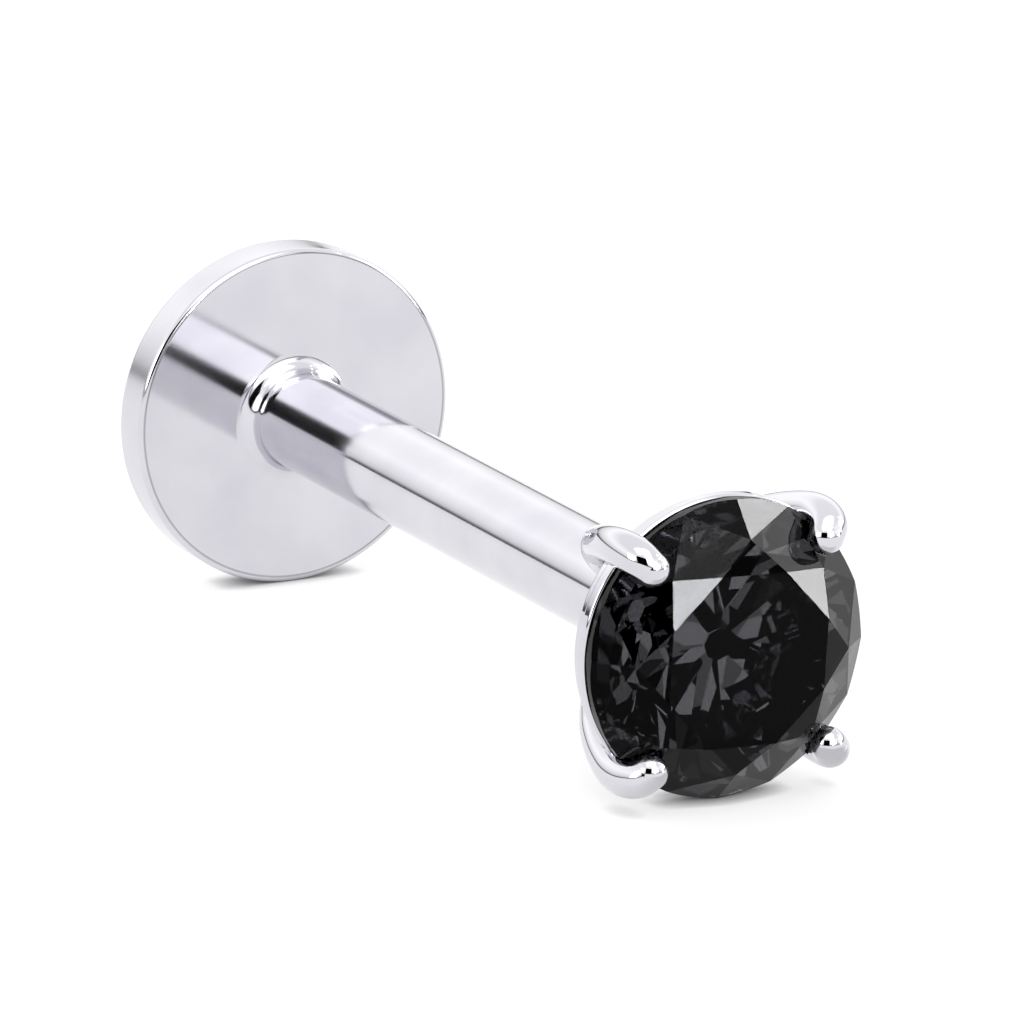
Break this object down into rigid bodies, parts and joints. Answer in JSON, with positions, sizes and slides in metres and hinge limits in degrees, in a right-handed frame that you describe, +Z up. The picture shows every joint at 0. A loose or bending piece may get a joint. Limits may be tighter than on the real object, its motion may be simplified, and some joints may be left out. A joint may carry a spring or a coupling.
{
  "type": "labret stud",
  "caption": "Labret stud: flat disc back with a slim straight post, and a claw-set round brilliant black stone on a plain push-in pin.",
  "frame": {"origin": "on the floor, at the centre of the base of the bounding box of the stud lying on its side", "axes": "+Z up from the floor, +Y from the stone to the disc back, +X across; the stone faces -Y and about 2 degrees down"},
  "size_m": [0.0036, 0.0102, 0.0036],
  "materials": {
    "polished_metal": "polished",
    "black_stone": "polished"
  },
  "bodies": {
    "root": {"disc_back_and_post": "polished_metal", "claw_setting": "polished_metal", "stone": "black_stone"}
  },
  "joints": []
}
